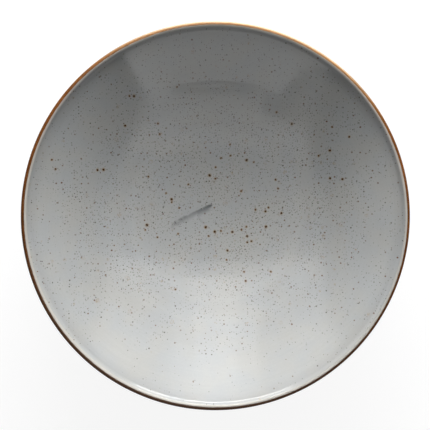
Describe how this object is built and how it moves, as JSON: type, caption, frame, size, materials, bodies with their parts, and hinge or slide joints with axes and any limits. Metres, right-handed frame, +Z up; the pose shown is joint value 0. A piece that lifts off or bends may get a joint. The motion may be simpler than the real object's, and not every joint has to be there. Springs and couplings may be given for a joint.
{
  "type": "pasta plate",
  "caption": "Round coupe pasta plate of glazed stoneware: a dished well, a sloping wall, a small upturned lip with a brown edge, and a low foot ring to stand on.",
  "frame": {"origin": "centre of the plane that the foot ring stands on", "axes": "+Z up along the plate's axis of revolution; +Y is the top of the picture and +X its right"},
  "size_m": [0.25, 0.25, 0.048],
  "materials": {
    "stoneware": "matte, bare fired clay",
    "well_glaze": "gloss, grey with brown specks",
    "rim_band": "gloss, iron brown",
    "outer_glaze": "gloss, grey with brown specks",
    "base_glaze": "gloss, grey with brown specks"
  },
  "bodies": {
    "root": {"stoneware_body": "stoneware", "well_glaze": "well_glaze", "rim_band": "rim_band", "outer_glaze": "outer_glaze", "base_glaze": "base_glaze"}
  },
  "joints": []
}
